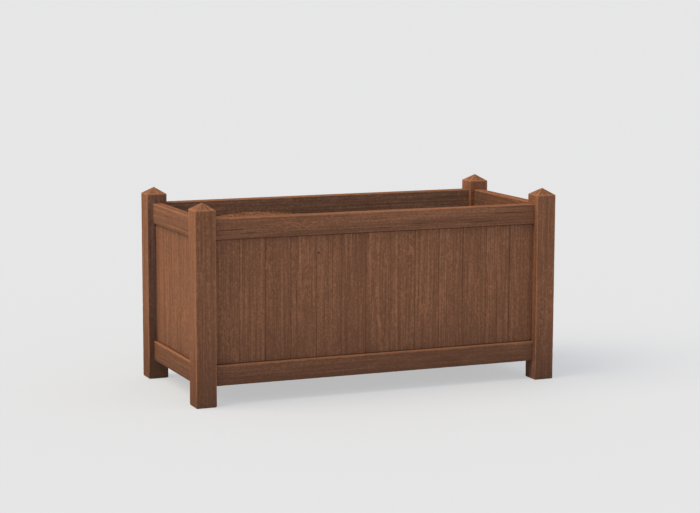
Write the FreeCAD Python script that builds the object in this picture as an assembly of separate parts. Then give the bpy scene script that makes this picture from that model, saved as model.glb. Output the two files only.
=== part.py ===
import FreeCAD, Part

import math
import os
from collections import namedtuple

from FreeCAD import Vector

# Rectangular hardwood planter: four square posts with weathered pyramid tops carry four framed walls.
# Each wall is a top rail, a bottom rail and upright tongue-and-groove boards held in grooves all round.
# The rails are tenoned into the posts, and the two tenons that meet inside a post are mitred.
# Inside, slats on two screwed cleats make the floor, a liner stands on them and soil fills the liner.
# Frame: X along the length, Y from the front wall to the back wall, Z up, origin on the ground at the middle.

# Driving dimensions, in millimetres

# Posts
post_size = 54.0  # side of the square section
post_eave_height = 496.0  # ground to the eave of the pyramid top
post_peak_rise = 17.5  # eave to the point
post_arris_radius = 1.5  # long corners of the post
post_eave_radius = 1.0  # eave of the pyramid top
post_peak_radius = 1.5  # the point itself, which is a little blunt
post_foot_chamfer = 2.0  # foot, so that it doesn't splinter when dragged

# Rails
rail_height = 53.0
rail_thickness = 28.0
rail_recess = 15.0  # face of the post to the face of the rail
rail_arris_radius = 2.0  # long corners of the rail
rail_crown_radius = 3.0  # upper corners of a top rail, which are eased more
bottom_rail_lift = 50.5  # ground to the underside of a bottom rail
top_rail_drop = 23.5  # eave of the posts to the top of a top rail

# Tenons
tenon_thickness = 12.0
tenon_shoulder = 8.0  # set-in at the rail's plain edge
tenon_mitre_gap = 0.3  # from the mitre plane to each tenon's tip

# Boards
long_wall_board_count = 13
short_wall_board_count = 5
board_cover = 69.0  # width that one board covers, without its tongue
board_thickness = 12.0
board_chamfer = 0.9  # along the face's edges, which makes the V joint
tongue_length = 5.0
tongue_thickness = 4.0
rail_groove_depth = 8.0
post_groove_depth = 6.0

# Floor
cleat_size = 22.0  # side of the square section
cleat_lift = 4.0  # underside of the bottom rail to the underside of the cleat
cleat_end_gap = 1.0
slat_count = 6
slat_gap = 8.0  # drainage gap between slats
slat_thickness = 12.0
slat_end_gap = 1.0
slat_arris_radius = 1.5

# Screws that hold each cleat to its rail
screws_per_cleat = 4
screw_end_distance = 70.0  # post to the first screw
screw_bite = 17.0  # depth in the rail
screw_radius = 2.0
screw_head_radius = 4.0
screw_head_height = 2.6

# Liner and soil
liner_wall = 2.0
liner_rim_drop = 4.0  # underside of the top rail to the liner's rim
liner_drain_radius = 4.0
soil_edge_drop = 50.0  # top of the top rail to the soil along the walls
soil_crown = 8.0  # rise from the long walls to the middle
soil_mound_rise = 14.0  # rise of the mound near the left end
soil_mound_radius = 117.0
soil_mound_offset = -206.0  # middle of the mound along X
soil_grid_step = 65.0  # spacing of the points that the soil's surface passes through

# Clearances
fit_gap = 0.2  # each side of a tenon, tongue, board or screw in its slot or hole
movement_gap = 1.0  # room for a board to swell at the bottom of a groove
liner_gap = 0.5  # rails and posts to the liner
soil_gap = 0.3  # soil to what holds it

# Levels and places that follow from them
planter_length = long_wall_board_count * board_cover + 2 * post_size  # over the posts, along X
planter_width = short_wall_board_count * board_cover + 2 * post_size  # over the posts, along Y
post_peak_height = post_eave_height + post_peak_rise
bottom_rail_top = bottom_rail_lift + rail_height
top_rail_top = post_eave_height - top_rail_drop
top_rail_base = top_rail_top - rail_height
rail_inner = rail_recess + rail_thickness  # face of the post to the inner face of the rail
rail_middle = rail_recess + rail_thickness / 2  # face of the post to the middle of the rail
cleat_base = bottom_rail_lift + cleat_lift
cleat_top = cleat_base + cleat_size
floor_level = cleat_top + slat_thickness
liner_rim = top_rail_base - liner_rim_drop
soil_edge = top_rail_top - soil_edge_drop

UP = Vector(0, 0, 1)
ORIGIN = Vector(0, 0, 0)

# Every wall is drawn at the front, then turned about Z; depth is how far the planter reaches behind it
Wall = namedtuple("Wall", "length depth turn boards")
WALLS = {
    "front": Wall(planter_length, planter_width, 0, long_wall_board_count),
    "back": Wall(planter_length, planter_width, 180, long_wall_board_count),
    "left": Wall(planter_width, planter_length, -90, short_wall_board_count),
    "right": Wall(planter_width, planter_length, 90, short_wall_board_count),
}

# Every post is drawn about its own axis, then turned and moved to its corner
Corner = namedtuple("Corner", "side_x side_y turn")
CORNERS = {
    "front_left": Corner(-1, -1, 0),
    "front_right": Corner(1, -1, 90),
    "back_right": Corner(1, 1, 180),
    "back_left": Corner(-1, 1, 270),
}


# Helpers


def box(x, y, z):
    """A block between two limits along each axis."""
    size = [high - low for low, high in (x, y, z)]
    return Part.makeBox(*size, Vector(x[0], y[0], z[0]))


def rounded_outline(corners):
    """A closed wire through corners (point, radius), with a tangent arc at each corner that has a radius."""
    stations = []
    for i, (corner, radius) in enumerate(corners):
        back = (corners[i - 1][0] - corner).normalize()
        ahead = (corners[(i + 1) % len(corners)][0] - corner).normalize()
        if not radius:
            stations.append((corner, None, corner))
            continue
        half_angle = back.getAngle(ahead) / 2
        bisector = (back + ahead).normalize()
        middle = corner + bisector * (radius / math.sin(half_angle) - radius)
        reach = radius / math.tan(half_angle)
        stations.append((corner + back * reach, middle, corner + ahead * reach))
    edges = []
    for i, (start, middle, end) in enumerate(stations):
        if middle:
            edges.append(Part.Arc(start, middle, end).toShape())
        edges.append(Part.LineSegment(end, stations[(i + 1) % len(stations)][0]).toShape())
    return Part.Wire(edges)


def prism(corners, direction):
    """The solid swept by a rounded outline along a direction."""
    return Part.Face(rounded_outline(corners)).extrude(direction)


def on_wall(shape, wall):
    """Turns a piece drawn on the front wall onto the named wall."""
    turned = shape.copy()
    turned.rotate(ORIGIN, UP, WALLS[wall].turn)
    return turned


def wall_face(wall):
    """Y of the posts' outer face on a wall, as drawn at the front."""
    return -WALLS[wall].depth / 2


# Posts


def post_groove_span():
    """Lower and upper end of the board groove in a post, which runs from tenon to tenon."""
    return bottom_rail_top - rail_groove_depth, top_rail_base + rail_groove_depth


def tenon_spans():
    """Lower and upper edge of the bottom and top rails' tenons."""
    groove_low, groove_high = post_groove_span()
    return (bottom_rail_lift + tenon_shoulder, groove_low), (groove_high, top_rail_top - tenon_shoulder)


def post_elevation():
    """Elevation of a post swept through its own width: chamfered foot, eaves and a blunt point."""
    half = post_size / 2
    foot = half - post_foot_chamfer
    side = [
        ((foot, 0), 0),
        ((half, post_foot_chamfer), 0),
        ((half, post_eave_height), post_eave_radius),
    ]
    other_side = [((-x, z), radius) for (x, z), radius in reversed(side)]
    outline = side + [((0, post_peak_height), post_peak_radius)] + other_side
    return prism([(Vector(x, -half, z), radius) for (x, z), radius in outline], Vector(0, post_size, 0))


def make_post():
    """A post about its own axis, with its two mortised faces towards +X and +Y."""
    half = post_size / 2
    square = [(-half, -half), (half, -half), (half, half), (-half, half)]
    post = prism([(Vector(x, y, 0), post_arris_radius) for x, y in square], UP * post_peak_height)
    for turn in (0, 90):
        elevation = post_elevation()
        elevation.rotate(ORIGIN, UP, turn)
        post = post.common(elevation)
    middle = rail_middle - half
    slot = tenon_thickness / 2 + fit_gap
    across = (middle - slot, middle + slot)
    cuts = [box((across[0], half), across, (low - fit_gap, high + fit_gap)) for low, high in tenon_spans()]
    slot = board_thickness / 2 + fit_gap
    across = (middle - slot, middle + slot)
    cuts.append(box((half - post_groove_depth, half), across, post_groove_span()))
    for cut in cuts:
        on_other_face = cut.mirror(ORIGIN, Vector(1, -1, 0))
        post = post.cut(cut).cut(on_other_face)
    return post


def make_posts():
    """The four posts, each turned so that its mortises face its two walls."""
    posts = {}
    reach_x = (planter_length - post_size) / 2
    reach_y = (planter_width - post_size) / 2
    for name, corner in CORNERS.items():
        post = make_post()
        post.rotate(ORIGIN, UP, corner.turn)
        post.translate(Vector(corner.side_x * reach_x, corner.side_y * reach_y, 0))
        posts[f"post_{name}"] = post
    return posts


# Rails


def rail_section(wall, base, grooved_edge):
    """Corners of a rail's section in the YZ plane, with the board groove in its upper or lower edge."""
    outer = wall_face(wall) + rail_recess
    inner = outer + rail_thickness
    top = base + rail_height
    middle = (outer + inner) / 2
    slot = board_thickness / 2 + fit_gap
    if grooved_edge == "top":
        floor, mouth, crown = top - rail_groove_depth, top, rail_arris_radius
    else:
        floor, mouth, crown = base + rail_groove_depth, base, rail_crown_radius
    groove = [(middle - slot, mouth), (middle - slot, floor), (middle + slot, floor), (middle + slot, mouth)]
    lower = [((outer, base), rail_arris_radius), ((inner, base), rail_arris_radius)]
    upper = [((inner, top), crown), ((outer, top), crown)]
    sharp = [(point, 0) for point in groove]
    if grooved_edge == "top":
        corners = lower + upper[:1] + sharp[::-1] + upper[1:]
    else:
        corners = lower[:1] + sharp + lower[1:] + upper
    return [(Vector(0, y, z), radius) for (y, z), radius in corners]


def make_tenon(wall, span):
    """The tenon on a rail's +X end, with its tip mitred to meet the next wall's tenon inside the post."""
    half_length = WALLS[wall].length / 2
    shoulder = half_length - post_size
    outer = wall_face(wall) + rail_middle - tenon_thickness / 2
    inner = outer + tenon_thickness
    tip = half_length - rail_middle - tenon_mitre_gap * math.sqrt(2)
    tip_outer = tip + tenon_thickness / 2
    tip_inner = tip - tenon_thickness / 2
    plan = [(shoulder, outer), (tip_outer, outer), (tip_inner, inner), (shoulder, inner)]
    low, high = span
    return prism([(Vector(x, y, low), 0) for x, y in plan], UP * (high - low))


def make_rail(wall, level):
    """A bottom or top rail: its grooved section swept between the posts, and a mitred tenon at each end."""
    clear = WALLS[wall].length - 2 * post_size
    base, grooved_edge, span = {
        "bottom": (bottom_rail_lift, "top", tenon_spans()[0]),
        "top": (top_rail_base, "bottom", tenon_spans()[1]),
    }[level]
    rail = prism(rail_section(wall, base, grooved_edge), Vector(clear, 0, 0))
    rail.translate(Vector(-clear / 2, 0, 0))
    tenon = make_tenon(wall, span)
    rail = rail.fuse(tenon).fuse(tenon.mirror(ORIGIN, Vector(1, 0, 0)))
    return rail.removeSplitter()


def make_rails():
    """The eight rails; the two that carry cleats are drilled for the cleats' screws."""
    rails = {}
    for wall in WALLS:
        for level in ("top", "bottom"):
            rail = make_rail(wall, level)
            if level == "bottom" and wall in ("front", "back"):
                rail = drill(rail, screw_places(), cleat_screw(fit_gap))
            rails[f"{level}_rail_{wall}"] = on_wall(rail, wall)
    return rails


# Boards


def board_plan(left, right, face, first, last):
    """Plan of one board: a groove in its left edge and a tongue on its right edge.
    The first and last board of a wall have a plain edge there, let into the post's groove."""
    back = face + board_thickness
    middle = face + board_thickness / 2
    slot = tongue_thickness / 2 + fit_gap
    tongue = tongue_thickness / 2
    let_in = post_groove_depth - movement_gap
    depth = tongue_length + movement_gap
    if first:
        points = [(left - let_in, back), (left - let_in, face)]
    else:
        points = [(left, back), (left, middle + slot), (left + depth, middle + slot),
                  (left + depth, middle - slot), (left, middle - slot),
                  (left, face + board_chamfer), (left + board_chamfer, face)]
    if last:
        points += [(right + let_in, face), (right + let_in, back)]
    else:
        edge = right - fit_gap
        points += [(edge - board_chamfer, face), (edge, face + board_chamfer), (edge, middle - tongue),
                   (edge + tongue_length, middle - tongue), (edge + tongue_length, middle + tongue),
                   (edge, middle + tongue), (edge, back)]
    return points


def make_boards():
    """The upright boards of every wall, each let into the grooves of both rails."""
    boards = {}
    let_in = rail_groove_depth - movement_gap
    low = bottom_rail_top - let_in
    high = top_rail_base + let_in
    for name, wall in WALLS.items():
        face = wall_face(name) + rail_middle - board_thickness / 2
        digits = len(str(wall.boards))
        for i in range(wall.boards):
            left = (i - wall.boards / 2) * board_cover
            plan = board_plan(left, left + board_cover, face, i == 0, i == wall.boards - 1)
            board = prism([(Vector(x, y, low), 0) for x, y in plan], UP * (high - low))
            boards[f"{name}_board_{i + 1:0{digits}d}"] = on_wall(board, name)
    return boards


# Floor


def slat_places():
    """Middle of each slat along X, and the width of a slat."""
    clear = planter_length - 2 * post_size
    width = (clear - (slat_count - 1) * slat_gap) / slat_count
    first = -clear / 2 + width / 2
    return [first + i * (width + slat_gap) for i in range(slat_count)], width


def slat_gap_places():
    """Middle of each gap between slats along X."""
    middles, _ = slat_places()
    return [(a + b) / 2 for a, b in zip(middles, middles[1:])]


def cleat_middle():
    """Y of a cleat's middle, as drawn on the front wall."""
    return wall_face("front") + rail_inner + cleat_size / 2


def screw_places():
    """Where the screws' heads sit on the front cleat's inner face."""
    reach = planter_length / 2 - post_size - screw_end_distance
    spacing = 2 * reach / (screws_per_cleat - 1)
    inner_face = cleat_middle() + cleat_size / 2
    height = cleat_base + cleat_size / 2
    return [Vector(-reach + i * spacing, inner_face, height) for i in range(screws_per_cleat)]


def cleat_screw(gap=0.0):
    """A countersunk screw along -Y, its head's face at the origin. With a gap, the hole for it."""
    shank = screw_radius + gap
    length = cleat_size + screw_bite + gap
    profile = [
        Vector(0, 0, 0),
        Vector(screw_head_radius + gap, 0, 0),
        Vector(shank, -screw_head_height, 0),
        Vector(shank, -length, 0),
        Vector(0, -length, 0),
    ]
    face = Part.Face(Part.makePolygon(profile + profile[:1]))
    return face.revolve(ORIGIN, Vector(0, 1, 0), 360)


def copies(shape, places):
    """A copy of a shape at each place."""
    moved = []
    for place in places:
        copy = shape.copy()
        copy.translate(place)
        moved.append(copy)
    return moved


def drill(piece, places, hole):
    """A piece with a hole cut at each place."""
    for cutter in copies(hole, places):
        piece = piece.cut(cutter)
    return piece


def make_cleats():
    """The two cleats along the bottom rails, drilled for their screws."""
    reach = planter_length / 2 - post_size - cleat_end_gap
    across = (cleat_middle() - cleat_size / 2, cleat_middle() + cleat_size / 2)
    cleat = box((-reach, reach), across, (cleat_base, cleat_top))
    cleat = drill(cleat, screw_places(), cleat_screw(fit_gap))
    return {f"floor_cleat_{wall}": on_wall(cleat, wall) for wall in ("front", "back")}


def make_screws():
    """The screws of both cleats, as one group."""
    front = copies(cleat_screw(), screw_places())
    both = [on_wall(one, wall) for wall in ("front", "back") for one in front]
    return {"cleat_screws": Part.makeCompound(both)}


def make_slats():
    """The floor slats, laid across the two cleats."""
    slats = {}
    middles, width = slat_places()
    reach = planter_width / 2 - rail_inner - slat_end_gap
    for i, middle in enumerate(middles):
        low, high = middle - width / 2, middle + width / 2
        section = [(low, cleat_top), (high, cleat_top), (high, floor_level), (low, floor_level)]
        corners = [(Vector(x, -reach, z), slat_arris_radius) for x, z in section]
        slats[f"floor_slat_{i + 1}"] = prism(corners, Vector(0, 2 * reach, 0))
    return slats


# Liner and soil


def inner_well(inset, low, high):
    """The space between the rails and clear of the posts, drawn in by an inset."""
    reach_x = planter_length / 2 - rail_inner - inset
    reach_y = planter_width / 2 - rail_inner - inset
    well = box((-reach_x, reach_x), (-reach_y, reach_y), (low, high))
    post_x = planter_length / 2 - post_size - inset
    post_y = planter_width / 2 - post_size - inset
    for corner in CORNERS.values():
        span_x = sorted((corner.side_x * post_x, corner.side_x * planter_length))
        span_y = sorted((corner.side_y * post_y, corner.side_y * planter_width))
        well = well.cut(box(span_x, span_y, (low, high)))
    return well


def make_liner():
    """An open trough that stands on the slats, with drain holes over the gaps between them."""
    liner = inner_well(liner_gap, floor_level, liner_rim)
    liner = liner.cut(inner_well(liner_gap + liner_wall, floor_level + liner_wall, liner_rim))
    drain = Part.makeCylinder(liner_drain_radius, liner_wall)
    places = [Vector(x, 0, floor_level) for x in slat_gap_places()]
    return {"liner": drill(liner, places, drain)}


def soil_height(x, y):
    """Height of the soil: a crown across the width, and a mound across it near the left end."""
    crown = soil_crown * math.cos(math.pi * y / planter_width) ** 2
    away = (x - soil_mound_offset) / soil_mound_radius
    return soil_edge + crown + soil_mound_rise * math.exp(-away * away)


def soil_surface():
    """A smooth face through points on the soil, a little wider than the planter's inside."""
    def stations(length):
        steps = 2 * math.ceil(length / 2 / soil_grid_step)
        return [length * (i / steps - 0.5) for i in range(steps + 1)]

    along = stations(planter_length)
    across = stations(planter_width)
    rows = [[Vector(x, y, soil_height(x, y)) for y in across] for x in along]
    surface = Part.BSplineSurface()
    surface.interpolate(rows)
    return surface.toShape()


def make_soil():
    """Soil that fills the liner and spreads over its rim to the rails."""
    base = floor_level + liner_wall + soil_gap
    over_rim = liner_rim + soil_gap
    inside = inner_well(liner_gap + liner_wall + soil_gap, base, over_rim)
    spread = inner_well(soil_gap, over_rim, top_rail_top)
    below_surface = soil_surface().extrude(Vector(0, 0, -post_peak_height))
    soil = inside.fuse(spread.common(below_surface))
    return {"soil": soil.removeSplitter()}


def main():
    os.makedirs("parts", exist_ok=True)
    frame = (make_posts, make_rails, make_boards)
    inside = (make_cleats, make_screws, make_slats, make_liner, make_soil)
    nodes = {}
    for make in frame + inside:
        nodes.update(make())
    for name, shape in nodes.items():
        shape.exportStep(f"parts/{name}.step")
    print(len(nodes), "nodes written")


if __name__ == "__main__":
    main()
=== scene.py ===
# %% [markdown]
# # A hardwood trough planter
# The planter is joiner's work: four square posts, eight rails between them, and upright tongue-and-groove
# boards let into grooves. A slatted floor on cleats carries a plastic liner full of soil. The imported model
# gives every piece its size and place, so it is loaded first and stays fixed. Its box is kept, because the
# dressed planter must not grow out of it.

# %% Load the frame
import math

import bpy
from mathutils import Matrix, Vector


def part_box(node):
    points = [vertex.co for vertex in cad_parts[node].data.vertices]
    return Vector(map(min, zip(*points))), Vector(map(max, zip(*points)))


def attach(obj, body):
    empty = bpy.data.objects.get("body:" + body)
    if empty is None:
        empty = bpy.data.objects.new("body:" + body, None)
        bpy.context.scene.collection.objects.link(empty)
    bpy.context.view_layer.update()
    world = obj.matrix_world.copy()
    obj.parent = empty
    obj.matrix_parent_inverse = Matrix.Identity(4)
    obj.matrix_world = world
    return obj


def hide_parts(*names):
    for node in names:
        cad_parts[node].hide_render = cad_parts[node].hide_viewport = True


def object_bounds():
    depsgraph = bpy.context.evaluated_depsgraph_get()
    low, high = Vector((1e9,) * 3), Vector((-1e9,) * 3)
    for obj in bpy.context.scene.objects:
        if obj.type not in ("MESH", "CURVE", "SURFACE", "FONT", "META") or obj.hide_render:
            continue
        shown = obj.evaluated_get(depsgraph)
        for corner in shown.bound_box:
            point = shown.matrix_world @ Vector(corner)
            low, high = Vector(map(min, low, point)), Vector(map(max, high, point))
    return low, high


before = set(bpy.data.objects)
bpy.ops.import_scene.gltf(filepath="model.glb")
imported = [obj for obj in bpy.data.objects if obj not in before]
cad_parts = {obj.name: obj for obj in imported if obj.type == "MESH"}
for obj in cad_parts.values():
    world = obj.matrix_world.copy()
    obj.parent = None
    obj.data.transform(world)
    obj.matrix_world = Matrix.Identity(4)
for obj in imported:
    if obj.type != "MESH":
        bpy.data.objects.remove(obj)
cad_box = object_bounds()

print("frame:", len(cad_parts), "nodes, size", [round(side, 4) for side in cad_box[1] - cad_box[0]])

# %% [markdown]
# ## The camera
# A product picture is taken from a little above and to one side, with a long lens so that upright edges stay
# nearly upright. The camera could be placed by eye, but a few angles and one distance say exactly where it
# stands: it turns to the right, tips down, and backs away from a point inside the planter.

# %% Camera
image_width = 700
focal_length_pixels = 1942.2
sensor_width = 36.0
camera_yaw = math.radians(22.928)
camera_pitch = math.radians(8.079)
camera_roll = math.radians(0.162)
camera_distance = 5.1858
aim_height = 0.32768
aim_aside = 0.00597

ahead = Vector((math.sin(camera_yaw) * math.cos(camera_pitch),
                math.cos(camera_yaw) * math.cos(camera_pitch),
                -math.sin(camera_pitch)))
level = Vector((math.cos(camera_yaw), -math.sin(camera_yaw), 0))
plumb = level.cross(ahead)
right = math.cos(camera_roll) * level + math.sin(camera_roll) * plumb
up = math.cos(camera_roll) * plumb - math.sin(camera_roll) * level
eye = Vector((0, 0, aim_height)) + aim_aside * right - camera_distance * ahead


def new_object(name, data):
    made = bpy.data.objects.new(name, data)
    bpy.context.collection.objects.link(made)
    return made


camera_data = bpy.data.cameras.new("camera")
camera_data.sensor_width = sensor_width
camera_data.lens = sensor_width * focal_length_pixels / image_width
camera = new_object("camera", camera_data)
camera.matrix_world = Matrix.Translation(eye) @ Matrix((right, up, -ahead)).transposed().to_4x4()
bpy.context.scene.camera = camera
bpy.context.scene.view_settings.view_transform = "Standard"
print("camera: lens", round(camera_data.lens, 2), "mm, at", [round(part, 3) for part in eye])

# %% [markdown]
# ## Small helpers for nodes
# Materials and Geometry Nodes are both trees of nodes, and wiring them by hand takes many lines. One helper
# fills the inputs of a node: a socket is linked, anything else is written as a value. Another makes a node,
# sets it up and fills it. The rest are short names for the sums that come back again and again.

# %% Node helpers
def fill_inputs(tree, node, values):
    for socket, value in values.items():
        if isinstance(value, bpy.types.NodeSocket):
            tree.links.new(value, node.inputs[socket])
        else:
            node.inputs[socket].default_value = value


def add_node(tree, kind, values=None, **settings):
    made = tree.nodes.new(kind)
    for name, setting in settings.items():
        setattr(made, name, setting)
    fill_inputs(tree, made, values or {})
    return made


def result(tree, kind, values=None, **settings):
    """The first output of a new node."""
    return add_node(tree, kind, values, **settings).outputs[0]


def calc(tree, operation, *values):
    return result(tree, "ShaderNodeMath", dict(enumerate(values)), operation=operation)


def vector_calc(tree, operation, *values):
    return result(tree, "ShaderNodeVectorMath", dict(enumerate(values)), operation=operation)


def scaled(tree, vector, factor):
    return result(tree, "ShaderNodeVectorMath", {0: vector, "Scale": factor}, operation="SCALE")


def length_of(tree, vector):
    return add_node(tree, "ShaderNodeVectorMath", {0: vector}, operation="LENGTH").outputs["Value"]


def parts_of(tree, vector):
    return add_node(tree, "ShaderNodeSeparateXYZ", {0: vector}).outputs


def vector_of(tree, x=0.0, y=0.0, z=0.0):
    return result(tree, "ShaderNodeCombineXYZ", {0: x, 1: y, 2: z})


def ease(tree, value, low, high, to_low=0.0, to_high=1.0):
    """A soft step: to_low where the value is below low, to_high above high."""
    values = {0: value, 1: low, 2: high, 3: to_low, 4: to_high}
    return result(tree, "ShaderNodeMapRange", values, interpolation_type="SMOOTHSTEP")


def noise(tree, place, along, across=None, detail=2.0, distortion=0.0):
    """Noise with so many features to the metre along x, and as many or another number across it."""
    across = across or along
    pulled = vector_calc(tree, "MULTIPLY", place, (along, across, across))
    values = {"Vector": pulled, "Scale": 1.0, "Detail": detail, "Distortion": distortion}
    return result(tree, "ShaderNodeTexNoise", values)


print("node helpers ready")

# %% [markdown]
# ## Light, floor and backdrop
# The planter stands in an even pale studio. The sky gives a plain fill, and one broad sun lamp from the upper
# left makes the left faces and the tops brighter than the front. A sun is chosen over an area lamp because
# its light is as strong far away as near, so the pale floor stays even. What the camera sees of the floor is
# a little more than half its own pale colour and the rest its lit surface: the shadow stays, but softly.

# %% Studio
backdrop_colour = (0.791, 0.791, 0.791, 1)
fill_colour = (0.605, 0.617, 0.648, 1)
key_colour = (1.0, 0.812, 0.53)
key_energy = 2.5
key_direction = Vector((-0.66, 0.02, 0.75))
key_spread = math.radians(50)
floor_colour = (0.665, 0.724, 0.835, 1)
floor_reach = 300.0
floor_own_glow = 0.6


def blend_colours(tree, factor, first, second, how="MIX"):
    values = {0: factor, 6: first, 7: second}
    return add_node(tree, "ShaderNodeMix", values, data_type="RGBA", blend_type=how).outputs[2]


def new_material(name):
    material = bpy.data.materials.new(name)
    material.use_nodes = True
    return material, material.node_tree, material.node_tree.nodes["Principled BSDF"]


def mesh_object(name, points, edges, faces):
    mesh = bpy.data.meshes.new(name)
    mesh.from_pydata(points, edges, faces)
    return new_object(name, mesh)


def seen_directly(tree):
    """1 for what the camera sees, also in a mirror or through glass, and 0 for light that falls on things."""
    path = add_node(tree, "ShaderNodeLightPath").outputs
    seen = calc(tree, "MAXIMUM", path["Is Camera Ray"], path["Is Glossy Ray"])
    return calc(tree, "MAXIMUM", seen, path["Is Transmission Ray"])


world = bpy.data.worlds.new("studio")
world.use_nodes = True
bpy.context.scene.world = world
sky = world.node_tree
sky_colour = blend_colours(sky, seen_directly(sky), fill_colour, backdrop_colour)
sky.links.new(sky_colour, sky.nodes["Background"].inputs["Color"])

key_data = bpy.data.lights.new("key", "SUN")
key_data.energy = key_energy
key_data.color = key_colour
key_data.angle = key_spread
key = new_object("key", key_data)
key.rotation_euler = key_direction.to_track_quat("Z", "Y").to_euler()

floor_corners = [(x * floor_reach, y * floor_reach, 0) for x, y in ((-1, -1), (1, -1), (1, 1), (-1, 1))]
floor = mesh_object("floor", floor_corners, [], [(0, 1, 2, 3)])
floor_paint, floor_tree, floor_shader = new_material("pale floor")
floor_look = {"Base Color": floor_colour, "Roughness": 1.0, "Specular IOR Level": 0.0}
fill_inputs(floor_tree, floor_shader, floor_look)
glow = result(floor_tree, "ShaderNodeEmission", {"Color": backdrop_colour})
share = calc(floor_tree, "MULTIPLY", seen_directly(floor_tree), floor_own_glow)
mixed = result(floor_tree, "ShaderNodeMixShader", {0: share, 1: floor_shader.outputs[0], 2: glow})
floor_tree.links.new(mixed, floor_tree.nodes["Material Output"].inputs["Surface"])
floor.data.materials.append(floor_paint)
print("studio: key from", [round(part, 2) for part in key_direction], "floor", floor_reach, "m each way")

# %% [markdown]
# ## Grain of the hardwood
# The timber is a dense reddish-brown hardwood. Its figure is made of layers at different scales: broad bands,
# streaks a few millimetres wide, hair-fine fibres, flecks, a soft mottle and growth rings, and here and there
# a pale curl. A photo texture would repeat on every board. Noise stretched along the grain doesn't, and each
# timber carries its own grain coordinates as an attribute, so the pattern turns with the timber and differs
# from its neighbour. The sum of the layers is a tone, and a ramp from heartwood to sapwood colours it.

# %% Grain
heart_colour = (0.142, 0.063, 0.037, 1)
wood_colour = (0.209, 0.097, 0.055, 1)
sap_colour = (0.395, 0.183, 0.103, 1)
# Each layer has its features to the metre along the grain and across it, and its weight in the tone
grain_layers = {"bands": (2, 22, 0.22), "streaks": (2.5, 130, 0.36), "threads": (4, 330, 0.54),
                "fibres": (9, 900, 0.45), "flecks": (140, 190, 0.56), "mottle": (34, 48, 0.2)}
ring_spacing = 0.006
ring_wander = 0.05
ring_weight = 0.2
timber_weight = 0.05
end_weight = 1.3
curl_depth = 0.6


def attribute(tree, name, output="Fac"):
    return add_node(tree, "ShaderNodeAttribute", attribute_name=name).outputs[output]


def tone_sum(tree, parts):
    """One tone round 0.5 from several noises, each with its own weight."""
    total = 0.5
    for part, weight in parts:
        centred = calc(tree, "SUBTRACT", part, 0.5)
        total = calc(tree, "MULTIPLY_ADD", centred, weight, total)
    return total


def colour_ramp(tree, tone, low, middle, high):
    """Colours between three stops, each with its place and its colour."""
    ramp = add_node(tree, "ShaderNodeValToRGB", {0: tone})
    stops = ramp.color_ramp.elements
    stops[0].position, stops[0].color = low
    stops[1].position, stops[1].color = high
    stops.new(middle[0]).color = middle[1]
    return ramp.outputs[0]


def growth_rings(tree, grain):
    """Irregular rings round a wandering pith that runs along the timber."""
    wander = noise(tree, grain, 2.4, 7, detail=1.0)
    parts = parts_of(tree, grain)
    radius = length_of(tree, vector_of(tree, y=parts[1], z=parts[2]))
    radius = calc(tree, "MULTIPLY_ADD", wander, ring_wander, radius)
    values = {"W": calc(tree, "DIVIDE", radius, ring_spacing), "Scale": 1.0, "Detail": 1.0}
    return result(tree, "ShaderNodeTexNoise", values, noise_dimensions="1D")


def end_streaks(tree, grain):
    """Stronger streaks on the cut tops of the posts, where the swell is less than 1 and the ends of the grain
    drink the oil unevenly. Everywhere else they stay at the middle value."""
    cut = ease(tree, attribute(tree, "swell"), 0.93, 0.995, 1.0, 0.0)
    fan = calc(tree, "SUBTRACT", noise(tree, grain, 12, 170), 0.5)
    return calc(tree, "MULTIPLY_ADD", fan, cut, 0.5)


def curly_figure(tree, grain):
    """Thin pale curls in a few patches: contour lines of a twisted noise."""
    field = noise(tree, grain, 16, 36, detail=1.0, distortion=2.5)
    off_line = calc(tree, "ABSOLUTE", calc(tree, "SUBTRACT", field, 0.5))
    line = ease(tree, off_line, 0.008, 0.035, 1.0, 0.0)
    patch = ease(tree, noise(tree, grain, 4, 11, detail=1.0), 0.55, 0.67)
    return calc(tree, "MULTIPLY", calc(tree, "MULTIPLY", line, patch), curl_depth)


def grain_colour(tree, grain, layers):
    parts = [(layers[name], weight) for name, (along, across, weight) in grain_layers.items()]
    parts += [(growth_rings(tree, grain), ring_weight), (attribute(tree, "tone"), timber_weight),
              (end_streaks(tree, grain), end_weight)]
    tone = tone_sum(tree, parts)
    return colour_ramp(tree, tone, (0.15, heart_colour), (0.5, wood_colour), (0.85, sap_colour))


print("grain:", ", ".join(grain_layers), "and rings")

# %% [markdown]
# ## Painted light and shade on the wood
# The wood is painted darker near the ground and low on the rails, as shade. The inner faces are painted
# greyer and darker, as shade, and a few patches lighten, darken, warm or grey some faces, most of them as
# painted light and painted shade. All this could be painted on each piece by hand. But it depends on where a
# point lies, on its rail or on the whole planter, so a few soft eggs and steps tint every piece by the same
# rules.

# %% Painted light and shade
# Painted shade: the dark colour that the wood takes near the ground and low on the rails
shade_colour = (0.085, 0.044, 0.031, 1)
ground_shade_reach = (-0.03, 0.26)
ground_shade_depth = 0.6
rail_shade_depth = 0.3
# Painted shade on the inner faces, greyer on the long walls than on the short ones
long_wall_shade = (0.90, 1.12, 1.29, 1)
short_wall_shade = (0.84, 0.85, 0.88, 1)
inner_shade_margin = 0.0005

post_outer, post_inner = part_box("post_front_left")
rail_inner = Vector((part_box("top_rail_left")[1].x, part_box("top_rail_front")[1].y))
rail_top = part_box("top_rail_front")[1].z
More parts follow.
